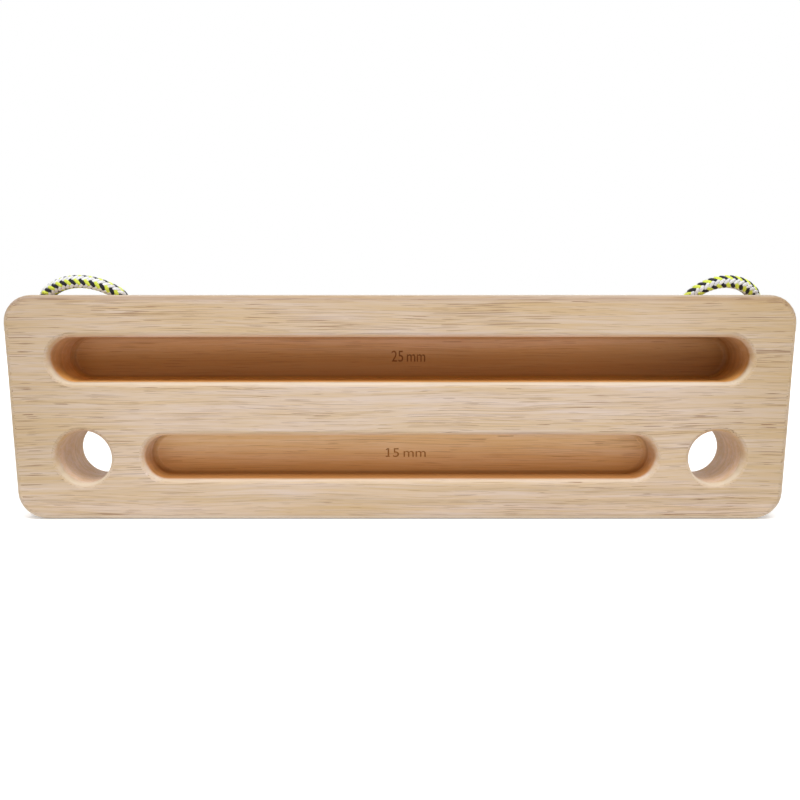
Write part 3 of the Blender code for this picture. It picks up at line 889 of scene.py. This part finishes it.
def wood_grain_group():
    """Pale rubberwood with its grain along X: broad bands, fine fibres and short dark pores.

    The routed pockets and holes are darker and warmer, partly for the oil that their walls took up
    and partly as painted shade of the recess, and in the slots darker low down. The slots also
    have painted shade low on their back walls, towards their right ends and on the rounding round
    their back walls, painted light high on the lower slot's back wall, painted shade on the lower
    slot's floor and painted light on the upper one's. The pockets' up-facing rims carry a painted
    highlight. Where the rounded outer edges face up they take a greyer tone, a painted highlight
    for the light that catches them; where they face down they are painted paler, a painted light;
    and the top front edge has painted shade where it turns over.
    """
    tree, n, given, out = new_group(
        "wood grain",
        ("Place", "Facing"),
        {
            "Pale": (0.710, 0.564, 0.440, 1),
            "Warm": (0.645, 0.482, 0.320, 1),
            "Rosy": (0.695, 0.548, 0.430, 1),
            "Pore": (0.240, 0.110, 0.050, 1),
            "Sanded": (0.560, 0.500, 0.440, 1),
            "Turning": (0.730, 0.680, 0.670, 1),
            "Rim": (0.800, 0.700, 0.570, 1),
            "Ends": (0.870, 0.840, 0.755, 1),
            "Oiled": (0.860, 0.480, 0.155, 1),
            "Deep": (0.600, 0.500, 0.300, 1),
            "Golden": (1.150, 1.080, 0.860, 1),
            "Trodden": (0.790, 0.790, 0.790, 1),
            "Worn": (1.360, 1.500, 1.400, 1),
            "Corner": (0.820, 0.760, 0.660, 1),
        },
        ("Roughness", "Height"),
    )
    place = given["Place"]
    x, y, z = n.split(place)
    face_x, _, tilt = n.split(given["Facing"])
    sway = n.vector("MULTIPLY", n.noise(place, WANDER, 1.0, output="Color"), SWAY)
    grain = n.vector("ADD", place, sway)

    colour = n.mix(n.span(n.noise(grain, BANDS, 3, 0.6), 0.35, 0.70), given["Pale"], given["Warm"])
    colour = n.mix(n.span(n.noise(grain, BLUSHES), 0.48, 0.68), colour, given["Rosy"])
    fine = n.noise(grain, FINE_FIBRES, 2, 0.6)
    fine_shade = n.span(fine, 0.25, 0.75, 0.96, 1.03)
    long_shade = n.span(n.noise(grain, LONG_FIBRES, 3, 0.6), 0.3, 0.7, 0.94, 1.04)
    colour = n.mix(1.0, colour, fibre_tint(n, n.times(fine_shade, long_shade)), "MULTIPLY")

    masks = routed_masks(n, x, y, z, tilt)
    end_grain = n.span(n.math("ABSOLUTE", face_x), 0.2, 0.65)
    near_end = n.span(n.math("ABSOLUTE", x), 0.6 * BOARD_W / 2, BOARD_W / 2)
    crowded = n.scaled(near_end, 0.30, 0.76)
    hidden = n.scaled(masks["oil"], -0.5, 1.0)
    dark = n.times(pores(n, grain), n.rest(end_grain), crowded, hidden)
    colour = n.mix(dark, colour, given["Pore"])

    rounded = edge_share(n, x, y, z)
    # Painted shade where the front edge turns over the top, below its up-facing part
    turning = n.times(n.span(tilt, 0.0, 0.45), n.span(tilt, 0.78, 0.95, 1.0, 0.0))
    colour = n.tint(n.times(turning, on_front_edge(n, y, z)), colour, given["Turning"])
    # Painted highlight: where the rounded outer edges face up they take a greyer tone, for the
    # light that catches them
    colour = n.mix(n.times(rounded, n.span(tilt, 0.76, 0.93)), colour, given["Sanded"])
    # Painted light: the rounded edges are paler where they face down, and the pockets' up-facing
    # rims carry a painted highlight
    lower_edge_light = n.times(rounded, n.span(tilt, -0.7, -0.1, 0.6, 0.0))
    colour = n.mix(n.larger(masks["rim"], lower_edge_light), colour, given["Rim"])
    warm = warm_share(n, x, z, near_end, n.noise(grain, STREAKS))
    face_share = n.times(warm, n.rest(masks["inside"]))
    router_marks = n.span(n.noise(place, ROUTER_MARKS, 1.0), 0.35, 0.65, 0.93, 1.04)
    across_grain = n.mix(masks["inside"], n.grey(ring_shade(n, grain)), n.grey(router_marks))
    # Of these tints, the pockets' darkening is partly oil and partly painted shade, and those on
    # their back walls, floors, right ends and corners are painted shade and painted light
    for share, tint in (
        (face_share, given["Ends"]),
        (masks["oil"], given["Oiled"]),
        (masks["golden"], given["Golden"]),
        (masks["shelf"], given["Trodden"]),
        (masks["worn"], given["Worn"]),
        (masks["deep"], given["Deep"]),
        (masks["far_end"], given["Deep"]),
        (end_grain, across_grain),
        (masks["corner"], given["Corner"]),
    ):
        colour = n.tint(share, colour, tint)
    n.join(colour, out["Color"])
    n.join(n.span(fine, 0.2, 0.8, 0.50, 0.62), out["Roughness"])
    n.join(n.less(n.times(fine, 0.25), dark), out["Height"])
    return tree


def pores(n, grain):
    """Dashes where noise stretched along the grain passes a level, lower where pores crowd."""
    crowd = n.span(n.noise(grain, PORE_CROWDS), 0.32, 0.70)
    dark = 0.0
    for scale, sparse, dense, sharpness, weight in PORES:
        level = n.scaled(crowd, dense - sparse, sparse)
        over = n.less(n.noise(grain, scale, 0.0), level)
        dash = n.math("MULTIPLY", over, sharpness, clamp=True)
        dark = n.larger(dark, n.times(dash, weight))
    return dark


def routed_masks(n, x, y, z, tilt):
    """Masks of the pockets by name, each from 0 to 1. tilt is how far the surface faces up.

    oil is how dark and warm their walls are: partly the oil they took up, partly painted shade of
    the recess. rim is a painted highlight where an edge is rounded over and faces up, and inside
    is
    past it. The others are painted: shade low on a back wall and light high on one, shade on the
    floor of the slot that is lit high and light on the floor of the other, shade towards a
    pocket's right end, and corner, shade on the rounding round a back wall.
    """
    faces_up = n.span(tilt, -0.3, 0.5)
    on_floor = n.span(tilt, 0.3, 0.8)
    set_back = n.scaled(faces_up, -RIM_SET_BACK, y)
    on_rim = n.times(n.span(y, *RIM_STARTS), n.span(y, *RIM_ENDS, 1.0, 0.0))
    side_rim_shade = n.times(on_rim, n.rest(faces_up), RIM_SIDE_SHADE)
    right_end = n.span(x, *RIGHT_END)
    masks = {}

    def add(mask, *values):
        masks[mask] = n.larger(masks.get(mask, 0.0), n.times(*values))

    for pocket in POCKETS:
        low, high = OPENINGS[pocket.name]
        middle = [(a + b) / 2 for a, b in zip(low, high)]
        back_wall = min(high[1] + OPENING_PLAY, BACK - HOLE_SHORT)
        across = n.math("LESS_THAN", away(n, x, middle[0]), high[0] - middle[0] + pocket.wider)
        up = n.math("LESS_THAN", away(n, z, middle[2]), high[2] - middle[2] + pocket.higher)
        ahead = n.less(back_wall, y)
        here = n.times(across, up, n.math("GREATER_THAN", ahead, -WALL_PLAY))
        past = n.times(here, n.span(set_back, *(part - pocket.crept for part in PAST_RIM)))
        # The walls darken and warm, more low down: partly oil, partly painted shade; a rim is
        # darkened where it faces sideways, a painted shade
        add("oil", past, n.span(z, low[2], high[2], pocket.oil_low, pocket.oil_high))
        add("oil", here, side_rim_shade)
        # The rim's up-facing part is a painted highlight
        add("rim", here, on_rim, faces_up, pocket.paled)
        add("inside", past)
        if pocket.soaked:
            # Painted shade low on the back wall
            on_wall = n.times(here, n.span(ahead, *WALL_ENDS, 1.0, 0.0))
            soaked = n.span(z, middle[2] - WALL_SHADE_UNDER, high[2], pocket.soaked, 0.0)
            add("deep", on_wall, soaked)
            # Painted light high on the back wall
            foot, top = low[2] - WALL_LIGHT_DROP, high[2] - WALL_LIGHT_DROP
            add("golden", on_wall, n.span(z, foot, top, 0.0, pocket.gold))
            # Painted shade on the floor of the slot that is lit high on its back wall, painted
            # light on the other's floor
            floor = "shelf" if pocket.gold else "worn"
            add(floor, past, on_floor, n.span(z, low[2], middle[2], 1.0, 0.0))
            # Painted shade towards the right end, weaker away from the back wall
            fading = n.span(ahead, 0.0, END_FADE, pocket.ending, END_LEFT * pocket.ending)
            add("far_end", past, right_end, fading)
            # Painted shade on the rounding round the back wall
            off_wall = n.span(ahead, *ROOT_STARTS)
            add("corner", here, off_wall, n.span(ahead, *ROOT_ENDS, 1.0, 0.0))
    return masks


def on_front_edge(n, y, z):
    """1 where the front face starts to turn over the board's top, 0 elsewhere."""
    near_top = n.math("GREATER_THAN", z, BOARD_H - CORNER_R)
    return n.times(near_top, n.span(y, FRONT, FRONT + EDGE_R, 1.0, 0.0))


def warm_share(n, x, z, near_end, noise):
    """Where the face is darker and warmer: at its ends, and in streaks along its lower part."""
    low = n.times(n.span(z, *STRIP_TOP, 1.0, 0.0), n.span(z, *STRIP_FOOT, 0.1, 1.0))
    streaks = n.span(noise, 0.35, 0.65, 0.1, 1.9)
    streaks = n.times(streaks, n.span(x, -BOARD_W / 2, BOARD_W / 2, *STRIP_WARMTH))
    return n.larger(n.times(near_end, n.rest(low)), n.times(low, streaks))


def fibre_tint(n, shade):
    """A shade as a colour: each channel is the shade to a power of its own."""
    channels = [n.math("POWER", shade, power) for power in FIBRE_POWERS]
    return n.feed(n.add("ShaderNodeCombineColor"), *channels).outputs[0]


def ring_shade(n, grain):
    """The tree's rings on a cut across the grain: a wave on the distance from its heart."""
    reach = n.vector("LENGTH", n.vector("MULTIPLY_ADD", grain, (0, 1, 1), FROM_HEART))
    wobble = n.times(n.noise(grain, RING_WOBBLE), 9.0)
    wave = n.math("SINE", n.scaled(reach, math.tau / RING_SPACING, wobble))
    return n.scaled(wave, 0.030, 0.965)


def edge_share(n, x, y, z):
    """Where the board's outer edges are rounded over: 0 on its flats, 1 halfway round the edge.

    The depth below the outline is that of a rounded rectangle, corner radius less the distance
    from the corner's centre. On an edge both it and the depth below the front are small.
    """
    past_x = n.less(n.math("ABSOLUTE", x), BOARD_W / 2 - CORNER_R)
    past_z = n.less(away(n, z, BOARD_H / 2), BOARD_H / 2 - CORNER_R)
    out_x, out_z = n.larger(past_x, 0.0), n.larger(past_z, 0.0)
    squares = n.scaled(out_x, out_x, n.times(out_z, out_z))
    inner = n.math("MINIMUM", n.larger(past_x, past_z), 0.0)
    below_outline = n.less(CORNER_R, n.math("ADD", n.math("SQRT", squares), inner))
    below_face = n.less((BACK - FRONT) / 2, n.math("ABSOLUTE", y))
    depth = n.larger(below_outline, below_face)
    on_edge = n.span(depth, 0.30 * EDGE_R, 0.95 * EDGE_R, 1.0, 0.0)
    return n.times(on_edge, n.math("LESS_THAN", y, 0.0))


def away(n, value, middle):
    """The distance from a middle."""
    return n.math("ABSOLUTE", n.less(value, middle))


def new_material(name, settings):
    """(material, its Nodes, its Principled shader with some inputs set)"""
    material = bpy.data.materials.new(name)
    material.use_nodes = True
    n = Nodes(material.node_tree)
    return material, n, n.fill(material.node_tree.nodes["Principled BSDF"], settings)


def bump(n, shader, height, distance, strength):
    """Relief on a shader: its distance in metres, and its strength from 0 to 1."""
    settings = {"Distance": distance, "Strength": strength, "Height": height}
    node = n.fill(n.add("ShaderNodeBump"), settings)
    n.join(node.outputs["Normal"], shader.inputs["Normal"])


def place_grain(n, shader, grain_group):
    """The wood grain group on Object coordinates, its colour joined to the shader."""
    place = n.add("ShaderNodeTexCoord").outputs["Object"]
    facing = n.add("ShaderNodeNewGeometry").outputs["Normal"]
    grain = n.feed(n.add("ShaderNodeGroup", node_tree=grain_group), place, facing)
    n.join(grain.outputs["Color"], shader.inputs["Base Color"])
    return grain


def wood_material(grain_group):
    """Rubberwood, sanded, under a thin oil."""
    material, n, shader = new_material("rubberwood", {"Specular IOR Level": 0.25})
    grain = place_grain(n, shader, grain_group)
    n.join(grain.outputs["Roughness"], shader.inputs["Roughness"])
    bump(n, shader, grain.outputs["Height"], 0.00012, 0.5)
    return material


def burnt_material(grain_group):
    """The wood where a mark is burnt in: the same grain, far darker."""
    settings = {"Roughness": 0.8, "Specular IOR Level": 0.2}
    material, n, shader = new_material("burnt_wood", settings)
    grain = n.fill(place_grain(n, shader, grain_group), BURNT)
    bump(n, shader, grain.outputs["Height"], 0.00010, 0.6)
    return material


def braid_group():
    """The braid's colour and height from the cord's pattern coordinates, as in float_height."""
    tree, n, given, out = new_group(
        "braid",
        ("Pattern",),
        {
            "Dark": (0.012, 0.012, 0.020, 1),
            "Bright": (0.79, 0.88, 0.110, 1),
            "White": (0.92, 0.92, 0.92, 1),
            "Greyed": (0.60, 0.58, 0.62, 1),
        },
        ("Height",),
    )
    column, step, _ = n.split(given["Pattern"])

    def yarn(middle, way, offset, longest):
        """(height, number of the yarn, place across it) for one way of the braid."""
        shifted = n.less(column, middle)
        beside = n.less(shifted, n.times(n.math("ROUND", n.times(shifted, 0.5)), 2.0))
        across = n.math("ADD", n.scaled(beside, -way * FLOAT_SLANT, step), offset)
        number = n.math("ROUND", across)
        part = n.less(across, number)
        squared = n.math("POWER", n.times(n.math("ABSOLUTE", part), 2.0), 2.0)
        round_part = n.math("SQRT", n.less(1.0, squared, clamp=True))
        reach = n.math("DIVIDE", n.math("ABSOLUTE", beside), longest)
        fall = n.less(1.0, n.math("POWER", reach, FLOAT_SQUARENESS), clamp=True)
        return n.times(round_part, fall), number, part

    high, number, part = yarn(0.0, 1, 0.0, COLOURED_REACH)
    white_high, white_number, white_part = yarn(1.0, -1, 0.5, WHITE_REACH)
    is_white = n.math("GREATER_THAN", white_high, high)
    height = n.larger(high, white_high)
    coloured = n.mix(n.math("FLOORED_MODULO", number, 2.0), given["Bright"], given["Dark"])
    column_number = n.math("ROUND", n.times(n.less(column, 1.0), 0.5))
    pair = n.feed(n.add("ShaderNodeCombineXYZ"), white_number, column_number).outputs[0]
    fleck = n.add("ShaderNodeTexWhiteNoise", noise_dimensions="2D")
    n.join(pair, fleck.inputs["Vector"])
    greyed = n.span(fleck.outputs["Value"], 0.0, 1.0, 0.0, 0.35)
    white = n.mix(greyed, given["White"], given["Greyed"])
    colour = n.mix(is_white, coloured, white)

    part = n.math("ADD", n.times(part, n.rest(is_white)), n.times(white_part, is_white))
    strands = n.math("COSINE", n.times(part, math.tau * YARN_STRANDS))
    shade = n.span(height, 0.05, 0.6, 0.30, 1.0)
    shade = n.times(shade, n.scaled(strands, 0.06, 0.96))
    n.join(n.mix(1.0, colour, n.grey(shade), "MULTIPLY"), out["Color"])
    n.join(n.scaled(strands, 0.07, height), out["Height"])
    return tree


def cord_material(braid):
    """Tight round braid of black, lime yellow and off-white yarns."""
    settings = {"Roughness": 0.72, "Specular IOR Level": 0.3, "Sheen Weight": 0.25}
    material, n, shader = new_material("braided_cord", settings | {"Sheen Roughness": 0.4})
    pattern = n.add("ShaderNodeUVMap", uv_map="pattern").outputs[0]
    group = n.feed(n.add("ShaderNodeGroup", node_tree=braid), pattern)
    n.join(group.outputs["Color"], shader.inputs["Base Color"])
    bump(n, shader, group.outputs["Height"], 0.0003, 0.7)
    return material


def strap_material():
    """Black woven strap: fine ribs across it and finer rows along it."""
    material, n, shader = new_material("woven_strap", {"Roughness": 0.8, "Sheen Weight": 0.2})
    across, along, _ = n.split(n.add("ShaderNodeUVMap", uv_map="pattern").outputs[0])
    ribs = n.math("COSINE", n.times(along, math.tau / RIB_PITCH))
    rows = n.math("COSINE", n.times(across, math.tau / ROW_PITCH))
    weave = n.times(ribs, rows)
    dark, pale = (0.012, 0.012, 0.013, 1), (0.045, 0.045, 0.048, 1)
    colour = n.mix(n.span(weave, -1.0, 1.0), dark, pale)
    n.join(colour, shader.inputs["Base Color"])
    bump(n, shader, weave, 0.0002, 0.6)
    return material


def make_camera():
    """The photograph's camera: level with the board's top, close, looking a little down."""
    camera = bpy.data.cameras.new("camera")
    set_all(camera, lens=CAMERA_LENS, sensor_width=CAMERA_SENSOR, clip_start=0.01)
    turn = (math.pi / 2 - CAMERA_PITCH, 0, 0)
    placed = add_object("camera", camera, location=CAMERA_PLACE, rotation_euler=turn)
    bpy.context.scene.camera = placed


def make_floor():
    """A plain pale floor. It keeps the board's soft shadow, and fades to white further off."""
    mesh = bpy.data.meshes.new("floor")
    ways = ((-1, -1), (1, -1), (1, 1), (-1, 1))
    mesh.from_pydata([(x * FLOOR_HALF, y * FLOOR_HALF, 0) for x, y in ways], [], [(0, 1, 2, 3)])
    floor = add_object("floor", mesh)
    colours = {"Base Color": (0.90, 0.90, 0.90, 1), "Emission Color": (1, 1, 1, 1)}
    settings = colours | {"Roughness": 0.9, "Specular IOR Level": 0.1}
    material, n, shader = new_material("floor", settings)
    reach = n.vector("LENGTH", n.add("ShaderNodeTexCoord").outputs["Object"])
    glow = n.span(reach, *FLOOR_GLOW)
    n.join(seen_straight(n, glow), shader.inputs["Emission Strength"])
    coat(mesh, material)


def seen_straight(n, strength):
    """The strength for rays from the camera, a mirror or a glass, and none for other light."""
    path = n.add("ShaderNodeLightPath").outputs
    seen = n.larger(path["Is Camera Ray"], path["Is Glossy Ray"])
    return n.times(n.larger(seen, path["Is Transmission Ray"]), strength)


def make_world():
    """Soft even light from all round, and white where the camera looks past the floor."""
    world = bpy.data.worlds.new("studio")
    world.use_nodes = True
    bpy.context.scene.world = world
    n = Nodes(world.node_tree)
    seen = seen_straight(n, 1.0)
    strength = n.math("ADD", seen, n.times(n.rest(seen), ROOM_LIGHT))
    n.fill(world.node_tree.nodes["Background"], {"Color": (1, 1, 1, 1), "Strength": strength})


def make_lamps():
    """Three wide soft rectangles of light: high in front, low and weak in front, low behind."""
    for name, (place, (width, height), power) in LAMPS.items():
        lamp = bpy.data.lights.new(name, "AREA")
        set_all(lamp, shape="RECTANGLE", size=width, size_y=height, energy=power)
        x, y, z = np.array(LAMP_AIM) - np.array(place)
        turn = (math.atan2(math.hypot(x, y), -z), 0, math.atan2(y, x) - math.pi / 2)
        add_object(name, lamp, location=place, rotation_euler=turn, visible_camera=False)


def main():
    bpy.context.scene.view_settings.view_transform = "Standard"
    make_camera()
    made, free_path, free_length = make_cord(cord_material(braid_group()))
    place_held_cord(made)
    tie = make_tie(strap_material())
    place_free_cord(made["free_cord"])
    grain = wood_grain_group()
    make_board(wood_material(grain), burnt_material(grain))
    make_floor()
    make_world()
    make_lamps()


main()
